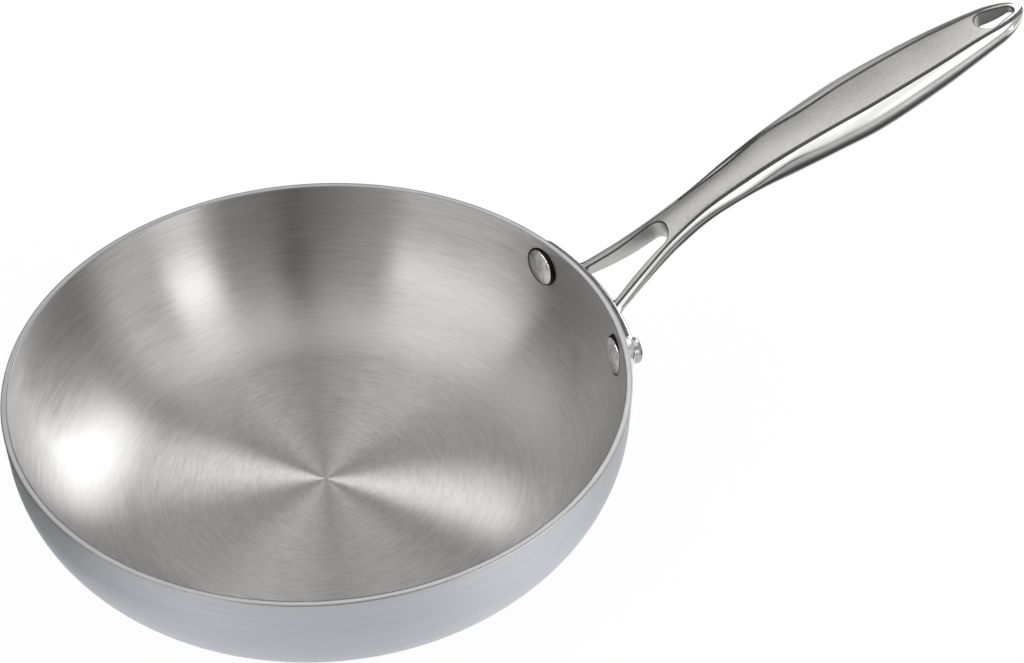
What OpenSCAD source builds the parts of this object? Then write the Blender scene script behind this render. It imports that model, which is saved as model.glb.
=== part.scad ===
// Omelette pan: a clad bowl, a cast fork handle and two rivets, in millimetres.
// The origin is the centre of the flat resting face, +Z is up and the handle points along +X.

/* [Bowl] */
// Outer diameter across the rim
rim_d = 200; // [180:1:240]
// Height from the resting face to the rim
bowl_h = 49; // [45:0.5:60]
// Outward lean of the wall at the rim, in degrees
wall_lean = 2; // [0:0.5:5]
// Outer radius of the bend between the base and the wall
bend_r = 39; // [30:0.5:42]

/* [Clad sheet] */
// Thickness of the stainless cooking surface
liner_t = 0.5; // [0.4:0.1:0.8]
// Thickness of the aluminium core
core_t = 1.2; // [0.9:0.1:2]
// Thickness of the stainless outer skin
skin_t = 0.5; // [0.4:0.1:0.8]
// Radius that breaks the inner and outer edges of the rim
rim_round = 0.35; // [0.2:0.05:0.4]

/* [Rivets] */
// Drop of the rivet axes below the rim
rivet_drop = 9.8; // [9:0.1:13]
// Distance between the rivet axes, across the handle
rivet_gap = 52; // [48:0.5:60]
// Diameter of the rivet shanks
shank_d = 5.5; // [4:0.1:6.5]
// Clearance round a shank in its holes
shank_clear = 0.05; // [0.02:0.01:0.15]
// Diameter of the heads inside the bowl
inner_head_d = 13; // [10:0.1:14]
// Height of the heads inside the bowl
inner_head_h = 2.2; // [1.6:0.1:2.8]
// Turn of the rivet axes from the wall's own normal towards the handle, in degrees
rivet_toe = 8; // [0:1:12]
// Diameter of the button heads on the plate
outer_head_d = 8.8; // [8:0.1:10]
// Height of the button heads above the plate
outer_head_h = 3.2; // [2.4:0.1:4.2]
// Radius that rounds the end of a button head
outer_head_round = 1.4; // [0.5:0.1:2]

/* [Mounting plate] */
// Thickness of the plate
plate_t = 3; // [2.4:0.1:4]
// Drop of the plate's upper edge below the rim
plate_drop = 2; // [1.5:0.1:3]
// Height of the plate
plate_h = 13; // [12:0.5:16]
// Width of the plate across both rounded ends
plate_w = 67; // [65:0.5:76]

/* [Handle] */
// Reach of the handle beyond the rim
handle_len = 163.5; // [135:0.5:200]
// Length of the rounded end
end_len = 13; // [9:0.5:16]
// Drop from the edge of the satin face to the widest line of the section, as a share of the depth
shoulder = 0.28; // [0.2:0.02:0.4]
// Width across the two arms at the plate
root_w = 28; // [26:0.5:34]
// Width of the satin face across the two arms at the plate
root_face_w = 23.5; // [21:0.5:25]
// Depth of the arms at the plate
root_t = 4.25; // [3.5:0.25:6]
// Height of the satin face's crown above its edges at the plate
root_crown = 1.8; // [1:0.1:2.4]
// Drop of the arms' top face below the rim at the plate
root_drop = 2.5; // [2:0.25:5]
// Distance of the neck from the rim
neck_at = 38; // [35:1:48]
// Rise of the top face above the rim at the neck
neck_rise = 19.75; // [16:0.25:25]
// Width of the neck
neck_w = 15.5; // [14:0.25:20]
// Width of the satin face at the neck
neck_face_w = 10.5; // [8:0.25:12]
// Depth of the neck
neck_t = 5.5; // [5:0.25:8]
// Height of the crown at the neck
neck_crown = 1.4; // [0.6:0.1:2]
// Distance of the widest part of the grip from the rim
grip_at = 100; // [90:1:110]
// Rise of the top face above the rim at the widest part
grip_rise = 44.25; // [38:0.25:55]
// Widest part of the grip
grip_w = 27.5; // [22:0.25:34]
// Width of the satin face at the widest part
grip_face_w = 15.5; // [12:0.25:19]
// Depth of the grip at the widest part
grip_t = 11.5; // [9:0.25:15]
// Height of the crown at the widest part
grip_crown = 0.6; // [0.2:0.1:1.5]
// Rise of the top face above the rim where the rounded end starts
tail_rise = 58.25; // [48:0.25:72]
// Width where the rounded end starts
tail_w = 17.75; // [15:0.25:21]
// Width of the satin face where the rounded end starts
tail_face_w = 11.5; // [8:0.25:12.5]
// Depth where the rounded end starts
tail_t = 8; // [6:0.25:9.5]
// Height of the crown where the rounded end starts
tail_crown = 0.4; // [0.2:0.1:1]
// Share of the rounded end's closing that its top face takes
end_drop = 0.25; // [0.1:0.05:0.5]

/* [Fork gap] */
// Distance from the rim to the closed end of the gap
gap_end = 27; // [24:0.5:30]
// Radius of the closed end of the gap
gap_end_r = 5; // [3.5:0.1:5.2]
// Width of the gap at the plate
gap_mouth_w = 21; // [18:0.5:21.5]

/* [Hang slot] */
// Distance from the slot's small end to the handle's tip
slot_inset = 3.4; // [3.2:0.1:5]
// Length of the slot
slot_len = 14.4; // [13:0.1:20]
// Radius of the slot's large end
slot_big_r = 4.4; // [3.8:0.1:5.2]
// Radius of the slot's small end
slot_small_r = 2.3; // [1.5:0.1:3]

/* [Hidden] */

steel = "gainsboro";
satin = "silver";
aluminium = "darkgray";

rim_r = rim_d / 2;
sheet_t = liner_t + core_t + skin_t;
bend_z = bend_r;
wall_foot_z = bend_z - bend_r * sin(wall_lean);
wall_foot_r = rim_r - (bowl_h - wall_foot_z) * tan(wall_lean);
base_r = wall_foot_r - bend_r * cos(wall_lean);
rivet_z = bowl_h - rivet_drop;
rivet_wall_r = rim_r - rivet_drop * tan(wall_lean);
rivet_turn = asin(rivet_gap / 2 / rivet_wall_r);
round_fn = 180;
small_fn = 72;
far = 3 * rim_d;
cutter_h = 20;
bend_hair = 0.01;

// Area that the bowl's outer face encloses, moved inward by a depth.
// The bend is let out by a hair, so that it crosses the base and the wall instead of only touching them.
module enclosed(depth) {
    r = bend_r - depth;
    foot_r = base_r + r * cos(wall_lean);
    foot_z = bend_z - r * sin(wall_lean);
    top_r = rim_r - depth / cos(wall_lean);
    intersection() {
        union() {
            translate([0, depth])
                square([base_r, bowl_h - depth]);
            translate([base_r, bend_z])
                circle(r + bend_hair, $fn = round_fn);
            polygon([[0, foot_z], [foot_r, foot_z], [top_r, bowl_h], [0, bowl_h]]);
        }
        translate([0, depth])
            square([far, bowl_h - depth]);
    }
}

// Solid of revolution inside the bowl's outer face moved inward by a depth
module enclosed_solid(depth) {
    rotate_extrude($fn = round_fn)
        enclosed(depth);
}

// Corner piece that leaves an edge of the rim round: side is 1 for the outer edge, -1 for the inner
module rim_corner(edge_r, side) {
    middle = [edge_r - rim_round * tan(wall_lean) - side * rim_round / cos(wall_lean), bowl_h - rim_round];
    out = [side * cos(wall_lean), -side * sin(wall_lean)];
    difference() {
        polygon([
            middle,
            [middle[0], bowl_h + rim_round],
            [edge_r + side * rim_round, bowl_h + rim_round],
            middle + 2 * rim_round * out
        ]);
        translate(middle)
            circle(rim_round, $fn = small_fn);
    }
}

module rim_corners() {
    rim_corner(rim_r, 1);
    rim_corner(rim_r - sheet_t / cos(wall_lean), -1);
}

// One layer of the clad sheet between two depths, pierced for the rivets
module ply(from, to) {
    difference() {
        rotate_extrude($fn = round_fn)
            difference() {
                enclosed(from);
                enclosed(to);
                rim_corners();
            }
        rivet_holes();
    }
}

// Turns a child from the X axis to a rivet axis, at the outer face of the wall
module at_rivet(side) {
    rotate([0, 0, side * rivet_turn])
        translate([rivet_wall_r, 0, rivet_z])
            rotate([0, 90, -side * rivet_toe])
                children();
}

module rivet_holes() {
    for (side = [-1, 1])
        at_rivet(side)
            cylinder(d = shank_d + 2 * shank_clear, h = 8 * sheet_t, center = true, $fn = small_fn);
}

module liner() {
    color(steel)
        ply(skin_t + core_t, sheet_t);
}

module core() {
    color(aluminium)
        ply(skin_t, skin_t + core_t);
}

module outer_skin() {
    color(satin)
        ply(0, skin_t);
}

// Low dome of a rivet head, from its seat at zero up to its height, with a short upright edge
module dome(d, h) {
    edge = h / 3;
    cap = h - edge;
    ball_r = (d * d / 4 + cap * cap) / (2 * cap);
    rotate_extrude($fn = small_fn)
        intersection() {
            translate([0, -h])
                square([d / 2, 2 * h]);
            translate([0, h - ball_r])
                circle(ball_r, $fn = round_fn);
        }
}

// Button of a closed rivet head, from its seat at zero up to its height, with a rounded end
module button(d, h) {
    rotate_extrude($fn = small_fn) {
        translate([0, -h])
            square([d / 2, 2 * h - outer_head_round]);
        square([d / 2 - outer_head_round, h]);
        translate([d / 2 - outer_head_round, h - outer_head_round])
            circle(outer_head_round, $fn = small_fn);
    }
}

// A rivet: dome inside the bowl, shank through the sheet and the plate, button on the plate
module rivet(side) {
    intersection() {
        at_rivet(side)
            translate([0, 0, -sheet_t])
                rotate([180, 0, 0])
                    dome(inner_head_d, inner_head_h);
        enclosed_solid(sheet_t);
    }
    difference() {
        at_rivet(side)
            translate([0, 0, plate_t])
                button(outer_head_d, outer_head_h);
        enclosed_solid(-plate_t);
    }
    at_rivet(side)
        translate([0, 0, -sheet_t - inner_head_h / 2])
            cylinder(d = shank_d, h = sheet_t + plate_t + inner_head_h / 2 + outer_head_h / 2, $fn = small_fn);
}

module rivet_left() {
    color(steel)
        rivet(1);
}

module rivet_right() {
    color(steel)
        rivet(-1);
}

// Outline of the mounting plate as seen along the handle: Y across, Z up
module plate_outline() {
    translate([0, bowl_h - plate_drop - plate_h / 2]) {
        for (side = [-1, 1])
            translate([side * (plate_w - plate_h) / 2, 0])
                circle(plate_h / 2, $fn = small_fn);
        square([plate_w - plate_h, plate_h], center = true);
    }
}

// Block inside the plate's outer face, which the bowl's own shape hollows out later
module plate_block() {
    intersection() {
        enclosed_solid(-plate_t);
        rotate([90, 0, 90])
            linear_extrude(rim_d)
                plate_outline();
    }
}

// Key sections of the handle: distance from the rim, rise, half face, half width, depth and crown
root_at = 2;
root = [root_at, -root_drop, root_face_w / 2, root_w / 2, root_t, root_crown];
neck = [neck_at, neck_rise, neck_face_w / 2, neck_w / 2, neck_t, neck_crown];
grip = [grip_at, grip_rise, grip_face_w / 2, grip_w / 2, grip_t, grip_crown];
tail = [handle_len - end_len, tail_rise, tail_face_w / 2, tail_w / 2, tail_t, tail_crown];

// A section between two key sections, with a share of the change for each of its six values
function between(a, b, k) = [for (i = [0:5]) a[i] + (b[i] - a[i]) * k[i]];

stations = [
    root,
    between(root, neck, [0.33, 0.34, 0.46, 0.52, 0.65, 0.3]),
    between(root, neck, [0.64, 0.67, 0.81, 0.88, 1, 0.6]),
    neck,
    between(neck, grip, [0.23, 0.28, 0.1, 0.25, 0.08, 0.25]),
    between(neck, grip, [0.47, 0.57, 0.6, 0.5, 0.75, 0.5]),
    between(neck, grip, [0.73, 0.78, 0.7, 0.83, 0.8, 0.75]),
    grip,
    between(grip, tail, [0.5, 0.54, 0.16, 0.31, 0.22, 0.5]),
    between(grip, tail, [0.83, 0.86, 0.75, 0.72, 0.73, 0.8]),
    tail
];
last = len(stations) - 1;

// Slope of value i at station k, from its neighbours
function slope(k, i) =
    let (a = stations[max(k - 1, 0)], b = stations[min(k + 1, last)])
    (b[i] - a[i]) / (b[0] - a[0]);

// Index of the station that starts the stretch holding distance x
function stretch(x, k = 0) =
    k >= last - 1 || x < stations[k + 1][0] ? k : stretch(x, k + 1);

// Value i of the handle at distance x from the rim, on a smooth curve through the stations
function along(x, i) =
    x < stations[0][0] ? stations[0][i] + (x - stations[0][0]) * slope(0, i)
    : x > stations[last][0] ? stations[last][i] + (x - stations[last][0]) * slope(last, i)
    : let (
        k = stretch(x),
        a = stations[k],
        b = stations[k + 1],
        w = b[0] - a[0],
        t = (x - a[0]) / w
    )
    a[i] * (2 * t * t * t - 3 * t * t + 1) + slope(k, i) * w * (t * t * t - 2 * t * t + t)
    + b[i] * (3 * t * t - 2 * t * t * t) + slope(k + 1, i) * w * (t * t * t - t * t);

// Share of the full section left at distance x, which falls as an ellipse over the rounded end
end_close = 0.999;
function end_share(x) =
    let (t = max(0, (x - tail[0]) / end_len))
    sqrt(1 - pow(t * end_close, 2));

// Half outline of a section from the middle of its face round to the middle of its underside:
// a crowned face, a bevel that turns down to the shoulder, and a full underside
face_steps = 3;
bevel_steps = 4;
under_steps = 7;
bevel_start = 20;
fullness = 2.4;
function half_section(face, half, depth, crown) =
    let (
        drop = depth * shoulder,
        s0 = sin(bevel_start),
        c0 = cos(bevel_start)
    )
    concat(
        [for (k = [0:face_steps]) [face * k / face_steps, crown * (1 - pow(k / face_steps, 2))]],
        [for (k = [1:bevel_steps])
            let (a = bevel_start + (90 - bevel_start) * k / bevel_steps)
            [face + (half - face) * (sin(a) - s0) / (1 - s0), -drop * (c0 - cos(a)) / c0]],
        [for (k = [1:under_steps])
            let (a = 90 * k / under_steps)
            [half * pow(max(cos(a), 0), 2 / fullness), -drop - (depth - drop) * pow(sin(a), 2 / fullness)]]
    );

// Whole ring of a section, starting at the middle of the face and turning towards +Y
function ring(half_points) =
    let (n = len(half_points))
    concat(half_points, [for (k = [n - 2:-1:1]) [-half_points[k][0], half_points[k][1]]]);

// The ring at distance x from the rim, set square to the handle's top line
function placed_ring(x) =
    let (
        share = end_share(x),
        depth = along(x, 4),
        tilt = atan(slope_at(x)),
        crown = along(x, 5) * share,
        points = ring(half_section(along(x, 2) * share, along(x, 3) * share, depth * share, crown)),
        lower = end_drop * depth * (1 - share)
    )
    [for (p = points) [
        rim_r + x - (p[1] - lower) * sin(tilt),
        p[0],
        bowl_h + along(x, 1) + (p[1] - lower) * cos(tilt)
    ]];

// Slope of the handle's top line at distance x
slope_step = 0.5;
function slope_at(x) = (along(x + slope_step, 1) - along(x - slope_step, 1)) / (2 * slope_step);

// Distances from the rim at which the rings stand: even along the handle, closer round its end
first_x = -6;
ring_step = 3.5;
end_rings = 7;
ring_count = ceil((tail[0] - first_x) / ring_step);
ring_xs = concat(
    [for (k = [0:ring_count]) first_x + (tail[0] - first_x) * k / ring_count],
    [for (k = [1:end_rings]) tail[0] + end_len * sin(90 * k / end_rings)]
);

// Solid body of both arms, neck and grip, swept through its rings
module handle_body() {
    rings = [for (x = ring_xs) placed_ring(x)];
    n = len(rings[0]);
    m = len(rings);
    points = [for (r = rings) each r];
    faces = concat(
        [for (j = [1:n - 2]) [0, j + 1, j]],
        [for (i = [0:m - 2], j = [0:n - 1]) each [
            [i * n + j, (i + 1) * n + (j + 1) % n, (i + 1) * n + j],
            [i * n + j, i * n + (j + 1) % n, (i + 1) * n + (j + 1) % n]
        ]],
        [for (j = [1:n - 2]) [(m - 1) * n, (m - 1) * n + j, (m - 1) * n + j + 1]]
    );
    polyhedron(points, faces, convexity = 6);
}

// Slope of the arms' top face, and the level it has at the rim
arm_slope = atan((neck_rise + root_drop) / (neck_at - root_at));
arm_z = bowl_h - root_drop - root_at * tan(arm_slope);

// Plan of the gap between the arms, measured along their slope from the rim:
// a round closed end and sides that flare towards the plate
gap_steps = 8;
module gap_plan() {
    end_x = gap_end / cos(arm_slope) - gap_end_r;
    flare = (gap_mouth_w / 2 - gap_end_r) / pow(end_x, 2);
    back_x = -8;
    side = [for (k = [0:gap_steps])
        let (x = end_x + (back_x - end_x) * k / gap_steps)
        [x, gap_end_r + flare * pow(end_x - x, 2)]];
    polygon(concat(side, [for (k = [gap_steps:-1:0]) [side[k][0], -side[k][1]]]));
    translate([end_x, 0])
        circle(gap_end_r, $fn = small_fn);
}

// Cutter of the gap, square to the arms' top face
module gap_cutter() {
    translate([rim_r, 0, arm_z])
        rotate([0, -arm_slope, 0])
            linear_extrude(2 * cutter_h, center = true)
                gap_plan();
}

// Slope of the top face at the hang slot, and the level of its big end's centre
slot_small_at = handle_len - slot_inset - slot_small_r;
slot_big_at = handle_len - slot_inset - slot_len + slot_big_r;
slot_slope = atan(slope_at(slot_big_at));

// Plan of the hang slot, measured along its slope from its big end's centre:
// a large and a small round end with straight sides tangent to both
module slot_plan() {
    big_x = 0;
    small_x = (slot_small_at - slot_big_at) / cos(slot_slope);
    lean = asin((slot_big_r - slot_small_r) / small_x);
    translate([big_x, 0])
        circle(slot_big_r, $fn = small_fn);
    translate([small_x, 0])
        circle(slot_small_r, $fn = small_fn);
    polygon([
        [big_x + slot_big_r * sin(lean), slot_big_r * cos(lean)],
        [small_x + slot_small_r * sin(lean), slot_small_r * cos(lean)],
        [small_x + slot_small_r * sin(lean), -slot_small_r * cos(lean)],
        [big_x + slot_big_r * sin(lean), -slot_big_r * cos(lean)]
    ]);
}

// Cutter of the hang slot, square to the top face there
module slot_cutter() {
    translate([rim_r + slot_big_at, 0, bowl_h + along(slot_big_at, 1)])
        rotate([0, -slot_slope, 0])
            linear_extrude(2 * cutter_h, center = true)
                slot_plan();
}

module handle() {
    color(satin)
        difference() {
            union() {
                difference() {
                    handle_body();
                    gap_cutter();
                    slot_cutter();
                }
                plate_block();
            }
            enclosed_solid(0);
            rivet_holes();
        }
}

liner();
core();
outer_skin();
handle();
rivet_left();
rivet_right();
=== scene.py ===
"""Looks of the omelette pan: a clad bowl, a cast fork handle and two rivets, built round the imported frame."""

import math

import bmesh
import bpy
import numpy as np
from mathutils import Matrix, Vector

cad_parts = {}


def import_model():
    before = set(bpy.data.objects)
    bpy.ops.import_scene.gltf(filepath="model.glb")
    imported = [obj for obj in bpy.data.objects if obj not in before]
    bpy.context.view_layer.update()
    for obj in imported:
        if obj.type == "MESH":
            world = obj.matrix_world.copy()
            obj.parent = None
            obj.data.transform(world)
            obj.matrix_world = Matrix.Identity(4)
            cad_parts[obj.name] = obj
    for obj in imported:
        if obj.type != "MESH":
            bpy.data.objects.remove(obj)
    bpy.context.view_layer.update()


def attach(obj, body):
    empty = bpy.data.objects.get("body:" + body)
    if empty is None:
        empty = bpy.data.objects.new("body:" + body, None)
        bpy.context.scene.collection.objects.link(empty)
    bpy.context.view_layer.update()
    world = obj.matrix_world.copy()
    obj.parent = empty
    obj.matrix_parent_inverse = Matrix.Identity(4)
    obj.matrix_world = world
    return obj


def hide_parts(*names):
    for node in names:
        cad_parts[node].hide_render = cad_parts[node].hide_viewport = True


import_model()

MM = 0.001

# Sizes of the bowl in millimetres, as in the part's source
RIM_R = 100.0
BOWL_H = 49.0
LEAN = math.radians(2)
BEND_R = 39.0
LINER_T = 0.5
CORE_T = 1.2
SKIN_T = 0.5
SHEET_T = LINER_T + CORE_T + SKIN_T
WALL_FOOT_Z = BEND_R - BEND_R * math.sin(LEAN)
WALL_FOOT_R = RIM_R - (BOWL_H - WALL_FOOT_Z) * math.tan(LEAN)
BASE_R = WALL_FOOT_R - BEND_R * math.cos(LEAN)

# Sizes of the handle's plate, as in the part's source, and the rounding of its outer edge
PLATE_T = 3.0
PLATE_DROP = 2.0
PLATE_H = 13.0
PLATE_W = 67.0
PLATE_ROUND = 0.9

# Faces over a quarter circle of a small rounded edge
EDGE_STEPS = 8
# Smallest radius of a profile that is turned about its axis
CENTRE_R = 0.001
# Distance in metres within which the points of a mesh are welded
WELD = 2e-6


# Mesh helpers


class Shell:
    """Collects grids of points as quads, then makes one welded mesh of them."""

    def __init__(self):
        self.points = []
        self.faces = []
        self.marks = []
        self.materials = []
        self.count = 0

    def grid(self, points, material):
        """Adds a grid of points in millimetres."""
        rows, columns = points.shape[:2]
        first = np.arange(rows - 1)[:, None] * columns + np.arange(columns - 1)[None, :] + self.count
        quads = np.stack([first, first + columns, first + columns + 1, first + 1], -1).reshape(-1, 4)
        if material not in self.materials:
            self.materials.append(material)
        self.points.append(points.reshape(-1, 3))
        self.faces.append(quads)
        self.marks.append(np.full(len(quads), self.materials.index(material)))
        self.count += rows * columns

    def mirrored(self, points, material):
        """A grid and its mirror image across the handle's middle plane."""
        self.grid(points, material)
        self.grid(points[::-1] * np.array([1.0, -1.0, 1.0]), material)

    def make(self, name, sharp=40.0):
        """One object of all the grids; edges over the angle in degrees stay sharp."""
        mesh = bpy.data.meshes.new(name)
        points = np.concatenate(self.points) * MM
        faces = np.concatenate(self.faces)
        mesh.from_pydata(points.tolist(), [], faces.tolist())
        mesh.polygons.foreach_set("material_index", np.concatenate(self.marks).astype(np.int32))
        bm = bmesh.new()
        bm.from_mesh(mesh)
        bmesh.ops.remove_doubles(bm, verts=bm.verts, dist=WELD)
        bmesh.ops.recalc_face_normals(bm, faces=bm.faces)
        bm.to_mesh(mesh)
        bm.free()
        for material in self.materials:
            mesh.materials.append(material)
        mesh.shade_smooth()
        mesh.set_sharp_from_angle(angle=math.radians(sharp))
        obj = bpy.data.objects.new(name, mesh)
        bpy.context.scene.collection.objects.link(obj)
        return obj


def revolve(profile, steps):
    """Grid of a profile of (radius, height) points turned about the Z axis."""
    a = np.linspace(0, 2 * math.pi, steps + 1)
    r, z = np.array(profile).T[:, :, None]
    return np.stack([r * np.cos(a), r * np.sin(a), z + 0 * a], -1)


def ride(obj, slot, *nodes):
    """A piece on the pan's one body, in place of its nodes."""
    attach(obj, "root")
    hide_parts(*nodes)


# Node helpers


def new_tree(name):
    """A new material and its empty node tree."""
    material = bpy.data.materials.new(name)
    material.use_nodes = True
    material.node_tree.nodes.clear()
    return material, material.node_tree


def node(tree, kind, **values):
    made = tree.nodes.new(kind)
    for name, value in values.items():
        setattr(made, name, value)
    return made


def feed(tree, socket, value):
    """Gives a socket a number, a colour or the output of another node."""
    if isinstance(value, (int, float)):
        socket.default_value = value
    elif isinstance(value, tuple):
        socket.default_value = (*value, 1)
    else:
        tree.links.new(value, socket)


def maths(tree, operation, *values):
    made = node(tree, "ShaderNodeMath", operation=operation)
    for socket, value in zip(made.inputs, values):
        feed(tree, socket, value)
    return made.outputs[0]


def plus(tree, a, b):
    return maths(tree, "ADD", a, b)


def times(tree, a, b):
    return maths(tree, "MULTIPLY", a, b)


def ramp(tree, value, stops, ease="LINEAR"):
    """Maps a value through (position, grey) stops."""
    made = node(tree, "ShaderNodeValToRGB")
    made.color_ramp.interpolation = ease
    while len(made.color_ramp.elements) < len(stops):
        made.color_ramp.elements.new(0.5)
    for element, (position, grey) in zip(made.color_ramp.elements, stops):
        element.position = position
        element.color = (grey, grey, grey, 1)
    tree.links.new(value, made.inputs[0])
    return made.outputs[0]


def map_range(tree, value, from_low, from_high, to_low, to_high):
    made = node(tree, "ShaderNodeMapRange")
    tree.links.new(value, made.inputs["Value"])
    made.inputs["From Min"].default_value = from_low
    made.inputs["From Max"].default_value = from_high
    made.inputs["To Min"].default_value = to_low
    made.inputs["To Max"].default_value = to_high
    return made.outputs[0]


def mix_colour(tree, share, first, second):
    made = node(tree, "ShaderNodeMix", data_type="RGBA")
    feed(tree, made.inputs[0], share)
    feed(tree, made.inputs[6], first)
    feed(tree, made.inputs[7], second)
    return made.outputs[2]


def mix_shader(tree, share, first, second):
    made = node(tree, "ShaderNodeMixShader")
    for socket, value in zip(made.inputs, (share, first, second)):
        tree.links.new(value, socket)
    return made.outputs[0]


def toned(tree, value, low, high, dark, light):
    """A colour that goes from dark to light as the value goes from low to high."""
    return mix_colour(tree, map_range(tree, value, low, high, 0, 1), dark, light)


def object_place(tree):
    return node(tree, "ShaderNodeTexCoord").outputs["Object"]


def round_noise(tree, across, along, detail, rough):
    """Noise that runs in circles round the Z axis: fine across them, long along them."""
    split = node(tree, "ShaderNodeSeparateXYZ")
    tree.links.new(object_place(tree), split.inputs[0])
    x, y, z = split.outputs
    r = maths(tree, "SQRT", plus(tree, times(tree, x, x), times(tree, y, y)))
    safe_r = maths(tree, "MAXIMUM", r, 1e-5)
    joined = node(tree, "ShaderNodeCombineXYZ")
    tree.links.new(times(tree, r, across), joined.inputs[0])
    tree.links.new(times(tree, maths(tree, "DIVIDE", x, safe_r), along), joined.inputs[1])
    tree.links.new(times(tree, maths(tree, "DIVIDE", y, safe_r), along), joined.inputs[2])
    noise = node(tree, "ShaderNodeTexNoise", noise_dimensions="4D")
    tree.links.new(joined.outputs[0], noise.inputs["Vector"])
    tree.links.new(times(tree, z, across), noise.inputs["W"])
    noise.inputs["Scale"].default_value = 1.0
    noise.inputs["Detail"].default_value = detail
    noise.inputs["Roughness"].default_value = rough
    return noise.outputs["Fac"]


def plain_noise(tree, scale, detail, stretch=(1, 1, 1)):
    """Noise through space, drawn out along each axis whose stretch is under 1."""
    mapping = node(tree, "ShaderNodeMapping")
    mapping.inputs["Scale"].default_value = stretch
    tree.links.new(object_place(tree), mapping.inputs[0])
    noise = node(tree, "ShaderNodeTexNoise")
    tree.links.new(mapping.outputs[0], noise.inputs["Vector"])
    noise.inputs["Scale"].default_value = scale
    noise.inputs["Detail"].default_value = detail
    return noise.outputs["Fac"]


def show(tree, shader, output="ShaderNodeOutputMaterial"):
    tree.links.new(shader, node(tree, output).inputs[0])


def steel(tree, colour, roughness, height, relief, strength=1.0, brushed=0.0):
    """Metal with a relief in metres; brushed, from 0 to 1, is how far it is brushed in circles round Z."""
    metal = node(tree, "ShaderNodeBsdfPrincipled")
    metal.inputs["Metallic"].default_value = 1.0
    feed(tree, metal.inputs["Base Color"], colour)
    feed(tree, metal.inputs["Roughness"], roughness)
    if brushed:
        metal.inputs["Anisotropic"].default_value = brushed
        metal.inputs["Anisotropic Rotation"].default_value = 0.25
        tangent = node(tree, "ShaderNodeTangent", direction_type="RADIAL", axis="Z")
        tree.links.new(tangent.outputs[0], metal.inputs["Tangent"])
    bump = node(tree, "ShaderNodeBump")
    bump.inputs["Strength"].default_value = strength
    bump.inputs["Distance"].default_value = relief
    tree.links.new(height, bump.inputs["Height"])
    tree.links.new(bump.outputs[0], metal.inputs["Normal"])
    show(tree, metal.outputs[0])


def warm_grey(level):
    """A grey with a little less blue."""
    return level, level, level * 0.99


# Materials


def liner_material():
    material, tree = new_tree("liner_steel")
    fine = round_noise(tree, across=2600, along=7.0, detail=3.0, rough=0.6)
    broad = round_noise(tree, across=1100, along=9.0, detail=4.0, rough=0.7)
    streaks = plus(tree, times(tree, fine, 0.45), times(tree, broad, 0.55))
    colour = toned(tree, streaks, 0.38, 0.62, (0.495, 0.485, 0.475), (0.625, 0.615, 0.60))
    roughness = map_range(tree, streaks, 0.35, 0.65, 0.3, 0.4)
    steel(tree, colour, roughness, streaks, relief=8e-6, strength=0.7, brushed=1.0)
    return material


def skin_material():
    material, tree = new_tree("skin_steel")
    streaks = round_noise(tree, across=2200, along=2.5, detail=3.0, rough=0.6)
    colour = toned(tree, streaks, 0.3, 0.7, (0.445, 0.465, 0.495), (0.53, 0.55, 0.58))
    roughness = map_range(tree, streaks, 0.3, 0.7, 0.42, 0.52)
    steel(tree, colour, roughness, streaks, relief=6e-6, strength=0.5, brushed=0.7)
    return material


def core_material():
    material, tree = new_tree("core_aluminium")
    streaks = round_noise(tree, across=5000, along=12, detail=2.0, rough=0.6)
    colour = toned(tree, streaks, 0.3, 0.7, (0.50, 0.505, 0.51), (0.60, 0.605, 0.61))
    roughness = map_range(tree, streaks, 0.3, 0.7, 0.5, 0.62)
    steel(tree, colour, roughness, streaks, relief=6e-6)
    return material


# Darker steel for the lips of liner and skin: painted shade of the dark lines along the rim
def rim_shade_material():
    material, tree = new_tree("rim_edge_painted_shade")
    streaks = round_noise(tree, across=5000, along=12, detail=2.0, rough=0.6)
    colour = toned(tree, streaks, 0.3, 0.7, (0.30, 0.30, 0.30), (0.40, 0.40, 0.40))
    steel(tree, colour, 0.3, streaks, relief=6e-6)
    return material


def satin_material():
    material, tree = new_tree("handle_satin")
    grain = plain_noise(tree, 2600, 3.0, stretch=(0.25, 1, 0.6))
    broad = plain_noise(tree, 90, 2.0, stretch=(0.5, 1, 1))
    both = plus(tree, times(tree, grain, 0.7), times(tree, broad, 0.3))
    colour = toned(tree, both, 0.3, 0.7, (0.44, 0.435, 0.425), (0.61, 0.605, 0.595))
    roughness = map_range(tree, both, 0.3, 0.7, 0.4, 0.52)
    steel(tree, colour, roughness, grain, relief=1.2e-5, strength=0.6)
    return material


def polished_material(name, low, high, shade, relief=6e-6, scale=220, stretch=0.3):
    """Polished steel of a grey shade, whose roughness lies between low and high."""
    material, tree = new_tree(name)
    waves = plain_noise(tree, scale, 3.0, stretch=(stretch, 1, 1))
    colour = mix_colour(tree, waves, warm_grey(shade), warm_grey(shade + 0.08))
    roughness = map_range(tree, waves, 0.3, 0.7, low, high)
    steel(tree, colour, roughness, waves, relief)
    return material


def painted_shade_material(name, dark, light):
    """Steel darkened between two greys, as painted shade in creases and seams."""
    material, tree = new_tree(name)
    grain = plain_noise(tree, 1500, 2.0)
    colour = mix_colour(tree, grain, (dark, dark, dark), (light, light, light))
    steel(tree, colour, 0.5, grain, relief=1e-5)
    return material


def wall_material(name, dark, light):
    """Ground steel between two greys, for the walls of the handle's openings."""
    material, tree = new_tree(name)
    grain = plain_noise(tree, 2200, 3.0)
    colour = toned(tree, grain, 0.3, 0.7, warm_grey(dark), warm_grey(light))
    roughness = map_range(tree, grain, 0.3, 0.7, 0.32, 0.42)
    steel(tree, colour, roughness, grain, relief=1e-5, strength=0.5)
    return material


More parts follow.
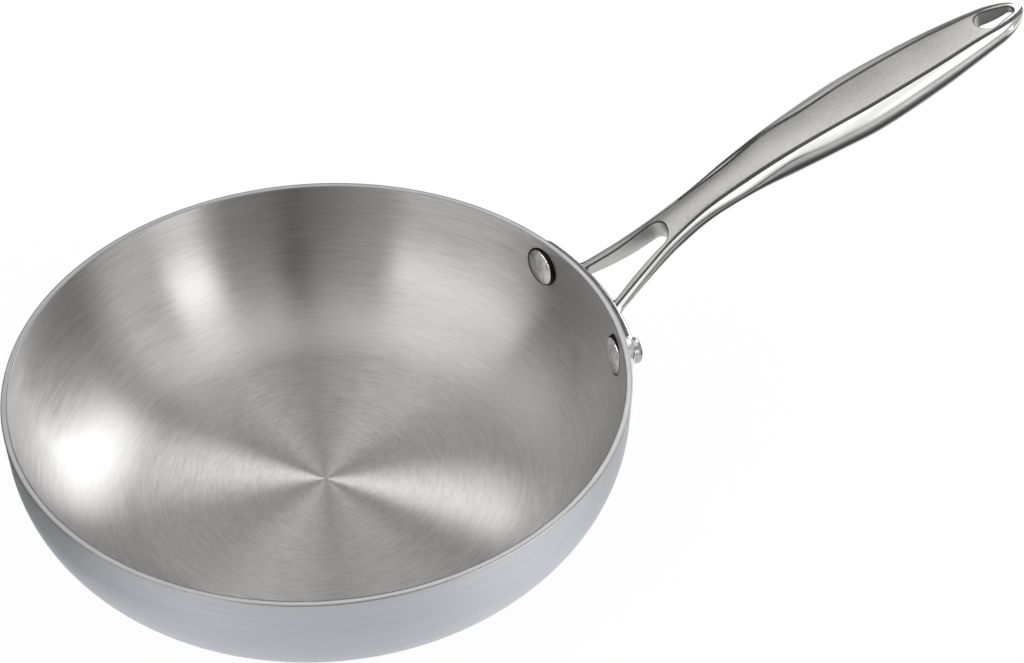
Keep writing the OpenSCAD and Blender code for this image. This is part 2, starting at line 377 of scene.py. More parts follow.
LINER = liner_material()
SKIN = skin_material()
CORE = core_material()
RIM_SHADE = rim_shade_material()
SATIN = satin_material()
POLISHED = polished_material("handle_polished", 0.12, 0.2, 0.78)
# Dark steel for the crease's groove and the openings' top edges: painted shade
GROOVE_SHADE = painted_shade_material("handle_groove_painted_shade", 0.08, 0.14)
# Brighter than the handle's polished steel, for the dome's highlights: painted light
RIVET_LIT = polished_material("rivet_polished_painted_light", 0.08, 0.14, 0.9, relief=9e-4, scale=340, stretch=1.0)
# Near-black for the dome's lower edge and the line round it: painted shadow
RIVET_EDGE_SHADOW = painted_shade_material("rivet_edge_painted_shadow", 0.015, 0.04)
# Far darker than the same rivet's dome: painted shade on the outer button
BUTTON_SHADE = polished_material("rivet_button_painted_shade", 0.2, 0.3, 0.42)
WALL = wall_material("handle_wall", 0.48, 0.57)
SLOT = wall_material("handle_slot_wall", 0.58, 0.66)
# Darker steel on the gap's lower rounded edge: painted shade under it
LOWER_EDGE_SHADE = painted_shade_material("handle_lower_edge_painted_shade", 0.16, 0.24)


# Bowl

# Faces along the base, the bend and the wall of a sheet, where it shows and where it is covered
SHOWN_STEPS = (36, 72, 8)
COVERED_STEPS = (20, 36, 3)
# Faces round the bowl
BOWL_STEPS = 360
# Rounding of the lip where it shows, where the sheets meet, and of the core, which lies a little lower
LIP_ROUND = 0.3
SEAM_ROUND = 0.06
CORE_ROUND = 0.04
CORE_DROP = 0.06


def cone_radius(z, depth):
    """Radius of the leaning wall at a height, at a depth below its outer face."""
    return RIM_R - depth / math.cos(LEAN) - (BOWL_H - z) * math.tan(LEAN)


def wall_radius(z, depth):
    """Radius of the bowl's side at heights above the base, at a depth below its outer face."""
    r = BEND_R - depth
    foot = BEND_R - r * math.sin(LEAN)
    bend = BASE_R + np.sqrt(np.maximum(r * r - (BEND_R - z) ** 2, 0))
    return np.where(z < foot, bend, cone_radius(z, depth))


def sheet_profile(depth, top, flat_steps, bend_steps, wall_steps):
    """Points from the middle of the base up to a height near the rim, along a face of the sheet."""
    r = BEND_R - depth
    points = [(BASE_R * k / flat_steps, depth) for k in range(flat_steps)]
    start, end = -90.0, -math.degrees(LEAN)
    for k in range(bend_steps + 1):
        a = math.radians(start + (end - start) * k / bend_steps)
        points.append((BASE_R + r * math.cos(a), BEND_R + r * math.sin(a)))
    foot = points[-1][1]
    for k in range(1, wall_steps + 1):
        z = foot + (top - foot) * k / wall_steps
        points.append((cone_radius(z, depth), z))
    return points


def lip(inner_depth, outer_depth, inner_round, outer_round, top):
    """Rim edge of a layer, from its inner face over the top to its outer face."""
    angles = [math.radians(90 * k / EDGE_STEPS) for k in range(EDGE_STEPS + 1)]
    inner_r = RIM_R - inner_depth
    outer_r = RIM_R - outer_depth
    points = []
    for a in angles:
        points.append((inner_r + inner_round * (1 - math.cos(a)), top - inner_round * (1 - math.sin(a))))
    for a in angles:
        points.append((outer_r - outer_round * (1 - math.sin(a)), top - outer_round * (1 - math.cos(a))))
    return points


def sheet(name, depths, rounds, steps, materials, top=BOWL_H):
    """A sheet of the bowl. Pairs are for its inner and outer face; the lip's material is between theirs."""
    inner = sheet_profile(depths[0], top - rounds[0], *steps[0])
    outer = sheet_profile(depths[1], top - rounds[1], *steps[1])[::-1]
    edge = lip(*depths, *rounds, top)
    shell = Shell()
    for profile, material in zip((inner + edge[:1], edge, edge[-1:] + outer), materials):
        shell.grid(revolve(profile, BOWL_STEPS), material)
    ride(shell.make(name + "_sheet"), name, name)


def bowl():
    core_in = SKIN_T + CORE_T
    steps = (SHOWN_STEPS, COVERED_STEPS)
    # The lips of the liner and the skin take the rim's painted shade
    sheet("liner", (SHEET_T, core_in), (LIP_ROUND, SEAM_ROUND), steps, (LINER, RIM_SHADE, CORE))
    rounds = (CORE_ROUND, CORE_ROUND)
    steps = (COVERED_STEPS, COVERED_STEPS)
    sheet("core", (core_in, SKIN_T), rounds, steps, (CORE, CORE, CORE), BOWL_H - CORE_DROP)
    steps = (COVERED_STEPS, SHOWN_STEPS)
    sheet("outer_skin", (SKIN_T, 0.0), (SEAM_ROUND, LIP_ROUND), steps, (CORE, RIM_SHADE, SKIN))


# Rivets

# Sizes of the rivets in millimetres, as in the part's source
RIVET_DROP = 9.8
RIVET_GAP = 52.0
RIVET_TOE = math.radians(8)
DOME_D = 13.0
DOME_H = 2.2
BUTTON_D = 8.8
BUTTON_H = 3.2
BUTTON_ROUND = 1.4
SHANK_D = 5.5
RIVET_Z = BOWL_H - RIVET_DROP
RIVET_WALL_R = RIM_R - RIVET_DROP * math.tan(LEAN)
RIVET_TURN = math.asin(RIVET_GAP / 2 / RIVET_WALL_R)

# Rounding of the dome's edge, how full its curve is, and how far heads and shank reach past their seats
DOME_ROUND = 0.75
DOME_FULL = 2.4
DOME_SUNK = 1.6
BUTTON_SUNK = 1.5
SHANK_SUNK = 1
# The painted shadow line round the dome: its reach under the dome and past it, and its height over the liner
LINE_IN = 0.1
LINE_OUT = 0.5
LINE_LIFT = 0.04
# Faces round the heads and the shank, along the dome or the button's face, and over their rounded edges
HEAD_STEPS = 96
SHANK_STEPS = 48
DOME_STEPS = 24
BUTTON_STEPS = 8
ROUND_STEPS = 12


def rivet_matrix(side):
    return (
        Matrix.Rotation(side * RIVET_TURN, 4, "Z")
        @ Matrix.Translation((RIVET_WALL_R, 0, RIVET_Z))
        @ Matrix.Rotation(-side * RIVET_TOE, 4, "Z")
        @ Matrix.Rotation(math.radians(90), 4, "Y")
    )


def placed(grid, matrix):
    m = np.array(matrix)
    return grid @ m[:3, :3].T + m[:3, 3]


def rounded_edge(r, size, height):
    """Profile over a rounded edge, from a radius outward and down by its size."""
    points = []
    for k in range(1, ROUND_STEPS + 1):
        a = math.radians(90 * k / ROUND_STEPS)
        points.append((r + size * math.sin(a), height - size * (1 - math.cos(a))))
    return points


def dome_profiles():
    """Profile of a dome, parted halfway over its rounded edge: the polished face, and the side darkened with
    painted shadow.
    """
    crown = DOME_H * 2 / 3
    face_r = DOME_D / 2 - DOME_ROUND
    face = [(CENTRE_R, DOME_H)]
    for k in range(1, DOME_STEPS + 1):
        r = face_r * k / DOME_STEPS
        face.append((r, DOME_H - crown * (2 * r / DOME_D) ** DOME_FULL))
    edge = rounded_edge(face_r, DOME_ROUND, face[-1][1])
    half = ROUND_STEPS // 2
    return face + edge[:half + 1], edge[half:] + [(DOME_D / 2, -DOME_SUNK)]


def seat_shadow_line(matrix):
    """Thin line of painted shadow on the liner where the dome's edge meets it."""
    profile = [(DOME_D / 2 - LINE_IN, -SHEET_T), (DOME_D / 2 + LINE_OUT, -SHEET_T)]
    ring = placed(revolve(profile, HEAD_STEPS), matrix)
    r = wall_radius(ring[..., 2], SHEET_T + LINE_LIFT)
    ring[..., :2] *= (r / np.hypot(ring[..., 0], ring[..., 1]))[..., None]
    return ring


def button_profile():
    face_r = BUTTON_D / 2 - BUTTON_ROUND
    face = [(CENTRE_R, BUTTON_H)]
    face += [(face_r * k / BUTTON_STEPS, BUTTON_H) for k in range(1, BUTTON_STEPS + 1)]
    return face + rounded_edge(face_r, BUTTON_ROUND, BUTTON_H) + [(BUTTON_D / 2, -BUTTON_SUNK)]


def rivets():
    inward = np.array([1, 1, -1.0])
    for side, name in ((1, "left"), (-1, "right")):
        matrix = rivet_matrix(side)
        shell = Shell()
        for profile, material in zip(dome_profiles(), (RIVET_LIT, RIVET_EDGE_SHADOW)):
            dome = revolve(profile, HEAD_STEPS) * inward + np.array([0, 0, -SHEET_T])
            shell.grid(placed(dome, matrix), material)
        shell.grid(seat_shadow_line(matrix), RIVET_EDGE_SHADOW)
        button = revolve(button_profile(), HEAD_STEPS) + np.array([0, 0, PLATE_T])
        shell.grid(placed(button, matrix), BUTTON_SHADE)
        shank = [(SHANK_D / 2, -SHEET_T - SHANK_SUNK), (SHANK_D / 2, PLATE_T + SHANK_SUNK)]
        shell.grid(placed(revolve(shank, SHANK_STEPS), matrix), RIVET_LIT)
        ride(shell.make("rivet_" + name + "_heads"), "rivets", "rivet_" + name)


# Handle

# Sizes of the handle in millimetres, and the shoulder and the drop of its end as shares of its depth
HANDLE_LEN = 163.5
END_LEN = 13.0
SHOULDER = 0.28
END_DROP = 0.25
GAP_END = 27.0
GAP_END_R = 5.0
GAP_MOUTH_W = 21.0
SLOT_INSET = 3.4
SLOT_LEN = 14.4
SLOT_BIG_R = 4.4
SLOT_SMALL_R = 2.3
TAIL_AT = HANDLE_LEN - END_LEN

# Distance from the rim, rise, half face, half width, depth and crown, as in the part's source
AT, RISE, HALF_FACE, HALF_WIDTH, DEPTH, CROWN = range(6)
ROOT = [2.0, -2.5, 11.75, 14.0, 4.25, 1.8]
NECK = [38.0, 19.75, 5.25, 7.75, 5.5, 1.4]
GRIP = [100.0, 44.25, 7.75, 13.75, 11.5, 0.6]
TAIL = [TAIL_AT, 58.25, 5.75, 8.875, 8.0, 0.4]

# Slope of the arms, and the straight length and widening of the gap between them
ARM_SLOPE = math.atan((NECK[RISE] - ROOT[RISE]) / (NECK[AT] - ROOT[AT]))
GAP_RUN = GAP_END / math.cos(ARM_SLOPE) - GAP_END_R
GAP_FLARE = GAP_MOUTH_W / 2 - GAP_END_R

# Where the handle's end stops short of closing, as a share of its curve
END_SHARE = 0.999
# The arms' tops are flatter than the grip's: by how much at these distances, and the crown that they keep
FLAT_AT = [13, 27]
FLAT_SHARE = [0.85, 0]
FLAT_CROWN = 0.22
# The bevel's curve begins at this angle, at the crease beside the top face
CREASE = math.radians(20)
CREASE_SIN = math.sin(CREASE)
CREASE_COS = math.cos(CREASE)
# How full the curve of the underside is
UNDER_FULL = 2.4
# Rounding of the openings' edges: on top, and below round the gap and round the slot
TOP_ROUND = 0.55
GAP_ROUND = 0.4
SLOT_ROUND = 2.0
# Radius of the hollow curve where the arms meet the plate, and the distance from the rim within which it lies
HOLLOW_R = 1.7
HOLLOW_END = 12
# Width and depth of the groove along the crease, at two distances
GROOVE_AT = [18, 55]
GROOVE_W = [0.32, 0.7]
GROOVE_D = [0.12, 0.45]
# How far the groove's floor reaches to the two sides of the crease, as shares of its width
FLOOR_IN = 0.5
FLOOR_OUT = 0.4
# Rows between the gap and the slot, and rows that fan out evenly from the end of the gap
MIDDLE_ROWS = 110
FAN_ROWS = 34
# Columns of points across the top face and the bevel, and across the underside
FACE_COLUMNS = 11
UNDER_COLUMNS = 19
# Where the gap's edge begins along the arms, and where its fine rows near the plate end
GAP_START = -0.3
GAP_FINE_END = 9
# Points along the gap's edge: in its fine and its coarse rows, and round its end
GAP_FINE_ROWS = 110
GAP_COARSE_ROWS = 40
GAP_END_ROWS = 25
# Points round the slot's big end, round its small end and along its side, and from the slot to the tip
SLOT_BIG_ROWS = 30
SLOT_SMALL_ROWS = 18
SLOT_SIDE_ROWS = 10
TIP_ROWS = 24
# Lean of the gap's wall into the metal on top, and the offset of its foot, at distances along the arms
GAP_LEAN_AT = [0, 3, 8, 16, 22, 27, 31]
GAP_LEAN = [0.3, 0.4, 0.6, 0.65, 0.5, 0.2, 0]
GAP_FOOT_AT = [6, 14, 21, 26, 31]
GAP_FOOT = [0, -0.35, -0.9, -1.5, -1.9]


def between(a, b, share):
    return [p + (q - p) * s for p, q, s in zip(a, b, share)]


STATIONS = np.array([
    ROOT,
    between(ROOT, NECK, [0.33, 0.34, 0.46, 0.52, 0.65, 0.3]),
    between(ROOT, NECK, [0.64, 0.67, 0.81, 0.88, 1, 0.6]),
    NECK,
    between(NECK, GRIP, [0.23, 0.28, 0.1, 0.25, 0.08, 0.25]),
    between(NECK, GRIP, [0.47, 0.57, 0.6, 0.5, 0.75, 0.5]),
    between(NECK, GRIP, [0.73, 0.78, 0.7, 0.83, 0.8, 0.75]),
    GRIP,
    between(GRIP, TAIL, [0.5, 0.54, 0.16, 0.31, 0.22, 0.5]),
    between(GRIP, TAIL, [0.83, 0.86, 0.75, 0.72, 0.73, 0.8]),
    TAIL,
])
LAST = len(STATIONS) - 1


def slope_at(k):
    """How fast each value changes along the handle at station k."""
    before = STATIONS[max(k - 1, 0)]
    after = STATIONS[min(k + 1, LAST)]
    return (after - before) / (after[AT] - before[AT])


SLOPES = np.array([slope_at(k) for k in range(LAST + 1)])


def along(x, value):
    """A value of the handle at distance x from the rim, on the smooth curve through the stations."""
    x = np.asarray(x, float)
    at, level, slope = STATIONS[:, AT], STATIONS[:, value], SLOPES[:, value]
    k = np.clip(np.searchsorted(at, x, side="right") - 1, 0, LAST - 1)
    run = at[k + 1] - at[k]
    t = (x - at[k]) / run
    curve = level[k] * (2 * t**3 - 3 * t**2 + 1) + slope[k] * run * (t**3 - 2 * t**2 + t)
    curve += level[k + 1] * (3 * t**2 - 2 * t**3) + slope[k + 1] * run * (t**3 - t**2)
    curve = np.where(x < at[0], level[0] + (x - at[0]) * slope[0], curve)
    return np.where(x > at[LAST], level[LAST] + (x - at[LAST]) * slope[LAST], curve)


def closing(x):
    """Share of its full width that the handle has at distance x: less than 1 only over its round end."""
    t = np.maximum(0, (np.asarray(x, float) - TAIL_AT) / END_LEN)
    return np.sqrt(np.maximum(1 - (END_SHARE * t) ** 2, 0))


def half_face(x):
    return along(x, HALF_FACE) * closing(x)


def half_width(x):
    return along(x, HALF_WIDTH) * closing(x)


def depth_at(x):
    return along(x, DEPTH) * closing(x)


def crown_at(x):
    return along(x, CROWN) * closing(x)


def tilt_at(x):
    """Angle at which the top line climbs."""
    return np.arctan(along(x + 0.5, RISE) - along(x - 0.5, RISE))


def place(x, n, u):
    """Point of the handle at distance x, n across and u above its top line, in millimetres."""
    tilt = tilt_at(x)
    v = u - END_DROP * along(x, DEPTH) * (1 - closing(x))
    out = RIM_R + x - v * np.sin(tilt)
    up = BOWL_H + along(x, RISE) + v * np.cos(tilt)
    return np.stack(np.broadcast_arrays(out, n, up), -1)


def top_height(x, n):
    """Height of the top face: crowned, and nearly flat across on the arms."""
    flat = np.interp(x, FLAT_AT, FLAT_SHARE)
    return crown_at(x) * ((1 - (n / half_face(x)) ** 2) * (1 - flat) + FLAT_CROWN * flat)


def bevel_section(x, b):
    """Offset and height of the bevel at an angle b, which grows to 90 degrees at the widest line."""
    face = half_face(x)
    offset = face + (half_width(x) - face) * (np.sin(b) - CREASE_SIN) / (1 - CREASE_SIN)
    return offset, -SHOULDER * depth_at(x) * (CREASE_COS - np.cos(b)) / CREASE_COS


def under_section(x, a):
    """Offset and height of the underside at an angle a, which grows from the widest line downward."""
    depth = depth_at(x)
    shoulder = SHOULDER * depth
    offset = half_width(x) * np.maximum(np.cos(a), 0) ** (2 / UNDER_FULL)
    return offset, -shoulder - (depth - shoulder) * np.maximum(np.sin(a), 0) ** (2 / UNDER_FULL)


def under_height(x, n):
    """Height of the underside at an offset n."""
    depth = depth_at(x)
    shoulder = SHOULDER * depth
    share = np.minimum(n / half_width(x), 1)
    return -shoulder - (depth - shoulder) * (1 - share**UNDER_FULL) ** (1 / UNDER_FULL)


def arc(centre, r, a):
    """A round edge at angles a: distances, offsets and the directions into the metal."""
    return np.stack([centre + r * np.cos(a), r * np.sin(a), np.cos(a), np.sin(a)], -1)


def gap_curve():
    """Half of the gap's edge along the arms' slope, then the slope's scale and where the edge begins."""
    fine = np.linspace(GAP_START, GAP_FINE_END, GAP_FINE_ROWS)
    coarse = np.linspace(GAP_FINE_END, GAP_RUN, GAP_COARSE_ROWS)
    s = np.concatenate([fine, coarse[1:]])
    flare = GAP_FLARE / GAP_RUN**2
    n = GAP_END_R + flare * (GAP_RUN - s) ** 2
    grow = -2 * flare * (GAP_RUN - s)
    length = np.sqrt(1 + grow**2)
    side = np.stack([s, n, -grow / length, 1 / length], -1)
    end = arc(GAP_RUN, GAP_END_R, np.radians(np.linspace(90, 0, GAP_END_ROWS)[1:]))
    return np.concatenate([side, end]), math.cos(ARM_SLOPE), 0.0


def slot_curve():
    """Half of the slot's edge along the tip's slope, then the slope's scale and the big end's middle."""
    big = HANDLE_LEN - SLOT_INSET - SLOT_LEN + SLOT_BIG_R
    small = HANDLE_LEN - SLOT_INSET - SLOT_SMALL_R
    scale = math.cos(tilt_at(big))
    run = (small - big) / scale
    turn = math.pi / 2 - math.asin((SLOT_BIG_R - SLOT_SMALL_R) / run)
    big_end = arc(0, SLOT_BIG_R, np.linspace(math.pi, turn, SLOT_BIG_ROWS))
    small_end = arc(run, SLOT_SMALL_R, np.linspace(turn, 0, SLOT_SMALL_ROWS))
    share = np.linspace(0, 1, SLOT_SIDE_ROWS)[1:-1, None]
    side = big_end[-1] + (small_end[0] - big_end[-1]) * share
    return np.concatenate([big_end, side, small_end]), scale, big


def edge_points(curve, off):
    """The edge moved into the metal by off, as distances and offsets."""
    edge, scale, origin = curve
    x = origin + (edge[:, 0] + off * edge[:, 2]) * scale
    return x, np.maximum(edge[:, 1] + off * edge[:, 3], 0)


def gap_slants():
    """Round the gap: its wall's lean into the metal on top, its lower rounding and its foot's offset."""
    s = gap_curve()[0][:, 0]
    lean = np.interp(s, GAP_LEAN_AT, GAP_LEAN)
    foot = np.interp(s, GAP_FOOT_AT, GAP_FOOT)
    return lean, np.full_like(s, GAP_ROUND), foot


def slot_slants():
    """The same round the slot, whose wall is upright."""
    s = slot_curve()[0][:, 0]
    return np.zeros_like(s), np.full_like(s, SLOT_ROUND), np.zeros_like(s)


def tip_distances(start):
    """Distances from the end of the slot to the tip, closer together near the tip."""
    a = math.asin((start - TAIL_AT) / END_LEN)
    return TAIL_AT + END_LEN * np.sin(np.linspace(a, math.pi / 2, TIP_ROWS))[1:]


def row_starts(gap, slot):
    """Inner ends of all rows, as distances and offsets: at the openings' edges, or on the middle plane."""
    middle = np.linspace(gap[0][-1], slot[0][0], MIDDLE_ROWS + 2)[1:-1]
    tip = tip_distances(slot[0][-1])
    distances = np.concatenate([gap[0], middle, slot[0], tip])
    offsets = np.concatenate([gap[1], 0 * middle, slot[1], 0 * tip])
    return distances, offsets


def handle_rows():
    """Rows along the whole handle: their inner ends on top and below, and their outer ends' distances."""
    gap, slot = gap_curve(), slot_curve()
    gap_lean, gap_round, gap_foot = gap_slants()
    slot_lean, slot_round, slot_foot = slot_slants()
    gap_top = edge_points(gap, gap_lean + TOP_ROUND)
    slot_top = edge_points(slot, slot_lean + TOP_ROUND)
    top = row_starts(gap_top, slot_top)
    under = row_starts(edge_points(gap, gap_foot + gap_round), edge_points(slot, slot_foot + slot_round))
    out = top[0].copy()
    gap_end = len(gap_top[0])
    slot_start = gap_end + MIDDLE_ROWS
    slot_end = slot_start + len(slot_top[0])
    for start, end in ((gap_end - FAN_ROWS, gap_end), (slot_start, slot_end)):
        out[start:end] = np.linspace(out[start], out[end - 1], end - start)
    return top, under, out


def wall_points(curve, lean, under_round, foot):
    """Rounded top edge, wall and rounded lower edge of an opening, as distances, offsets and heights."""
    high = top_height(*edge_points(curve, lean + TOP_ROUND))
    low = under_height(*edge_points(curve, foot + under_round))
    upper, middle, lower = [], [], []
    for k in range(EDGE_STEPS + 1):
        share = k / EDGE_STEPS
        a = math.radians(90 * share)
        x, n = edge_points(curve, lean + TOP_ROUND * (1 - math.sin(a)))
        upper.append((x, n, high - TOP_ROUND * (1 - math.cos(a))))
        x, n = edge_points(curve, lean + (foot - lean) * share)
        middle.append((x, n, high - TOP_ROUND + (low + under_round - high + TOP_ROUND) * share))
        x, n = edge_points(curve, foot + under_round * (1 - math.cos(a)))
        lower.append((x, n, low + under_round * (1 - math.sin(a))))
    return [np.stack([np.stack(values, 1) for values in zip(*part)]) for part in (upper, middle, lower)]


def flared(x, n, u):
    """Places points, and spreads the arms near the plate so that they meet it in a hollow curve."""
    points = place(x, n, u)
    clear = np.hypot(points[..., 0], points[..., 1]) - wall_radius(points[..., 2], -PLATE_T)
    left = HOLLOW_R - np.clip(clear, 0, HOLLOW_R)
    grow = np.where(x < HOLLOW_END, HOLLOW_R - np.sqrt(HOLLOW_R**2 - left**2), 0)
    inner = GAP_END_R + GAP_FLARE * (1 - x / math.cos(ARM_SLOPE) / GAP_RUN) ** 2
    outer, depth = along(x, HALF_WIDTH), along(x, DEPTH)
    across = ((n - (inner + outer) / 2) / np.maximum((outer - inner) / 2, 0.5)) ** 3
    down = ((u + depth / 2) / (depth / 2)) ** 3
    size = np.maximum(np.hypot(across, down), 1e-6)
    return place(x, n + grow * across / size, u + grow * np.minimum(down, 0) / size)


def handle_bands():
    """The four bands along each half of the handle, as distances, offsets, heights and a material."""
    top, under, out = handle_rows()
    groove_w = np.interp(out, GROOVE_AT, GROOVE_W)
    groove_d = np.interp(out, GROOVE_AT, GROOVE_D)
    face, width = half_face(out), half_width(out)
    crease = face - groove_w

    # The satin face on top, out to the groove
    k = np.linspace(0, 1, FACE_COLUMNS)
    x = top[0][:, None] + (out - top[0])[:, None] * k
    n = top[1][:, None] + (crease - top[1])[:, None] * k
    bands = [(x, n, top_height(x, n), SATIN)]

    # The groove, from the face down to its floor and up to the bevel: a real groove, whose dark colour is
    # painted shade
    b = np.arcsin(np.clip(CREASE_SIN + (1 - CREASE_SIN) * groove_w / (width - face), 0, 0.999))
    bevel_n, bevel_u = bevel_section(out, b)
    inside = face - groove_w * FLOOR_IN
    n = np.stack([crease, inside, face + groove_w * FLOOR_OUT, bevel_n], 1)
    u = np.stack([top_height(out, crease), top_height(out, inside) - groove_d, -groove_d, bevel_u], 1)
    bands.append((np.repeat(out[:, None], n.shape[1], 1), n, u, GROOVE_SHADE))

    # The polished bevel, out to the widest line
    x = np.repeat(out[:, None], FACE_COLUMNS, 1)
    b = b[:, None] + (math.pi / 2 - b)[:, None] * k
    bands.append((x, *bevel_section(x, b), POLISHED))

    # The underside, from the widest line to the middle plane or to an opening
    k = np.linspace(0, 1, UNDER_COLUMNS)
    x = out[:, None] + (under[0] - out)[:, None] * k
    a = np.arccos(np.clip(under[1] / half_width(under[0]), 0, 1) ** (UNDER_FULL / 2))
    bands.append((x, *under_section(x, a[:, None] * k), POLISHED))
    return bands


def handle_body(shell):
    tip = place(HANDLE_LEN, 0.0, -0.5 * depth_at(HANDLE_LEN))
    for x, n, u, material in handle_bands():
        points = flared(x, n, u)
        cap = np.broadcast_to(tip, (1, points.shape[1], 3))
        shell.mirrored(np.concatenate([points, cap]), material)
    # The openings' rounded top edges are darkened with painted shade
    openings = (
        # The gap's lower rounded edge is darkened with painted shade
        (gap_curve(), gap_slants(), (GROOVE_SHADE, WALL, LOWER_EDGE_SHADE)),
        (slot_curve(), slot_slants(), (GROOVE_SHADE, SLOT, SLOT)),
    )
    for curve, slants, materials in openings:
        for part, material in zip(wall_points(curve, *slants), materials):
            shell.mirrored(flared(*part), material)


def plate(shell):
    """Curved mounting plate: rounded ends, softened outer edge, and a back that follows the wall."""
    end_r = PLATE_H / 2
    half = PLATE_W / 2 - end_r
    middle_z = BOWL_H - PLATE_DROP - end_r
    end_points, long_points = 37, 121
    a = np.radians(np.linspace(-90, 90, end_points))
    y = np.linspace(-half, half, long_points)
    ends = [np.stack([side * half + 0 * a, side * np.cos(a), side * np.sin(a)], -1) for side in (1, -1)]
    above = np.stack([y[::-1], 0 * y, 0 * y + 1], -1)
    below = np.stack([y, 0 * y, 0 * y - 1], -1)
    centre, across, up = np.concatenate([ends[0], above[1:-1], ends[1], below[1:]]).T

    def outline(reach, depth):
        """The plate's outline at a reach from its middle line, at a depth below the skin's outer face."""
        y = centre + reach * across
        z = middle_z + reach * up
        r = wall_radius(z, depth)
        return np.stack([np.sqrt(r * r - y * y), y, z], -1)

    face_steps, side_steps = 12, 3
    rows = [outline((end_r - PLATE_ROUND) * k / face_steps, -PLATE_T) for k in range(face_steps + 1)]
    for k in range(1, EDGE_STEPS + 1):
        b = math.radians(90 * k / EDGE_STEPS)
        reach = end_r - PLATE_ROUND * (1 - math.sin(b))
        rows.append(outline(reach, -PLATE_T + PLATE_ROUND * (1 - math.cos(b))))
    for k in range(1, side_steps + 1):
        rows.append(outline(end_r, -PLATE_T + PLATE_ROUND + (PLATE_T - PLATE_ROUND) * k / side_steps))
    shell.grid(np.stack(rows), POLISHED)


def handle():
    shell = Shell()
    handle_body(shell)
    plate(shell)
    ride(shell.make("handle_cast", sharp=45), "handle", "handle")


bowl()
rivets()
handle()


# Studio

# The camera's place in metres, its lens in millimetres, its tilt, and its turn about the vertical
CAMERA_PLACE = (-0.2046, -0.5329, 0.5579)
CAMERA_LENS = 84.17
CAMERA_TILT = math.radians(49.12)
CAMERA_TURN = math.radians(-27.2)

# The photograph's right and its depth, which follow from the camera's turn
IMAGE_RIGHT = Vector((math.cos(CAMERA_TURN), math.sin(CAMERA_TURN), 0))
IMAGE_AWAY = Vector((-math.sin(CAMERA_TURN), math.cos(CAMERA_TURN), 0))
UP = Vector((0, 0, 1))

# Distance of the softboxes in metres, and the point that they face
SOFTBOX_DISTANCE = 1.3
SOFTBOX_AIM = Vector((0, 0, 0.03))

# The floor's grey, and the share of plain white that the camera and mirrors see in it
FLOOR_GREY = 0.86
FLOOR_WHITE = 0.95
# How far the floor lies under the pan and the radii of its rings, and the tent's radius, in millimetres
FLOOR_DROP = 0.02
FLOOR_RADII = (CENTRE_R, 100, 400, 1500, 4000)
TENT_R = 5000
# Faces round the floor and round the tent, and the tent's rings of points from its foot to its top
FLOOR_STEPS = 96
TENT_STEPS = 48
TENT_RINGS = 25
# Strength of the world's light on the object; the camera and mirrors see it at 1
WORLD_LIGHT = 0.6


def toward(right, away, up):
    """Unit vector from its parts along the photograph's right, its depth and the vertical."""
    return (IMAGE_RIGHT * right + IMAGE_AWAY * away + UP * up).normalized()


def softbox(name, direction, width, height, radiance):
    """A lamp of a size in metres, whose power grows with its area."""
    data = bpy.data.lights.new(name, "AREA")
    data.shape = "RECTANGLE"
    data.size = width
    data.size_y = height
    data.energy = radiance * math.pi * width * height
    obj = bpy.data.objects.new(name, data)
    obj.location = SOFTBOX_AIM + direction * SOFTBOX_DISTANCE
    obj.rotation_mode = "QUATERNION"
    obj.rotation_quaternion = direction.to_track_quat("Z", "Y")
    bpy.context.scene.collection.objects.link(obj)


def seen(tree):
    """1 for what the camera, a mirror or glass sees, and 0 for the light that falls on the object."""
    path = node(tree, "ShaderNodeLightPath")
    either = maths(tree, "MAXIMUM", path.outputs["Is Camera Ray"], path.outputs["Is Glossy Ray"])
    return maths(tree, "MAXIMUM", either, path.outputs["Is Transmission Ray"])


def floor():
    """A floor that looks white, keeps the pan's shadow, and is clear from below."""
    material, tree = new_tree("floor_white")
    cloth = node(tree, "ShaderNodeBsdfDiffuse")
    cloth.inputs[0].default_value = (FLOOR_GREY, FLOOR_GREY, FLOOR_GREY, 1)
    glow = node(tree, "ShaderNodeEmission")
    clear = node(tree, "ShaderNodeBsdfTransparent")
    below = node(tree, "ShaderNodeNewGeometry").outputs["Backfacing"]
    above = mix_shader(tree, times(tree, seen(tree), FLOOR_WHITE), cloth.outputs[0], glow.outputs[0])
    show(tree, mix_shader(tree, below, above, clear.outputs[0]))
    shell = Shell()
    shell.grid(revolve([(r, -FLOOR_DROP) for r in FLOOR_RADII], FLOOR_STEPS), material)
    obj = shell.make("floor")
    if obj.data.polygons[0].normal.z < 0:
        obj.data.flip_normals()


def world():
    made = bpy.data.worlds.new("studio")
    bpy.context.scene.world = made
    made.use_nodes = True
    tree = made.node_tree
    tree.nodes.clear()
    background = node(tree, "ShaderNodeBackground")
    tree.links.new(map_range(tree, seen(tree), 0, 1, WORLD_LIGHT, 1.0), background.inputs["Strength"])
    show(tree, background.outputs[0], "ShaderNodeOutputWorld")


